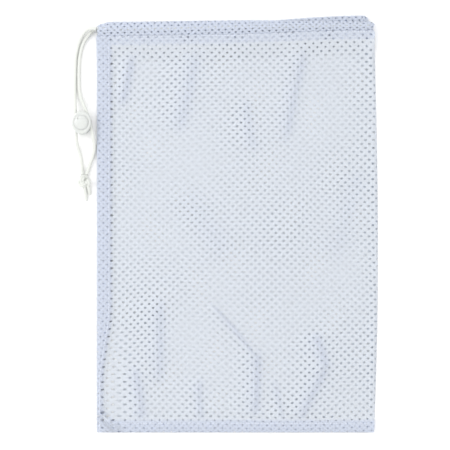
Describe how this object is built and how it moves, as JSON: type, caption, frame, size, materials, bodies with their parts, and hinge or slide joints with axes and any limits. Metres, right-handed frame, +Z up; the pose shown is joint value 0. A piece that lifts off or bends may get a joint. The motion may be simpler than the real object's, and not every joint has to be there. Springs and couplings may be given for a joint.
{
  "type": "mesh laundry bag",
  "caption": "Flat rectangular mesh laundry bag with a drawcord casing round its mouth, a push-button cord lock on the drawcord and a knot at the cord's end.",
  "frame": {"origin": "middle of the underside of the flat bag, without the free ends of its drawcord", "axes": "+Y from the sewn bottom to the mouth, +X from the sewn side, where the drawcord leaves, to the folded side, +Z up through the bag's thickness"},
  "size_m": [0.3339, 0.455, 0.0154],
  "materials": {
    "mesh_cloth": "matt warp-knitted mesh with small staggered holes",
    "sewing_thread": "spun polyester thread",
    "braided_cord": "matt braided cord",
    "white_plastic": "satin moulded plastic",
    "spring_steel": "plain drawn wire"
  },
  "bodies": {
    "bag": {"back_panel": "mesh_cloth", "front_panel": "mesh_cloth", "side_seam": "mesh_cloth", "bottom_seam": "mesh_cloth", "drawcord_casing": "mesh_cloth", "side_stitching": "sewing_thread", "bottom_stitching": "sewing_thread", "casing_stitching": "sewing_thread", "drawcord_run": "braided_cord", "cord_left": "braided_cord", "cord_right": "braided_cord", "end_knot": "braided_cord", "tail_long": "braided_cord", "tail_short": "braided_cord"},
    "lock": {"lock_barrel": "white_plastic", "lock_spring": "spring_steel"},
    "plunger": {"lock_plunger": "white_plastic"}
  },
  "joints": [
    {"name": "lock_slide", "type": "slide", "parent": "bag", "child": "lock", "axis": [0, 1, 0], "range_m": [-0.02, 0.04], "deforming": ["cord_left", "cord_right"]},
    {"name": "plunger_press", "type": "slide", "parent": "lock", "child": "plunger", "axis": [0, 0, -1], "range_m": [0, 0.002], "stiffness_N_per_m": 300, "springref_m": -0.001, "deforming": ["lock_spring"]}
  ]
}
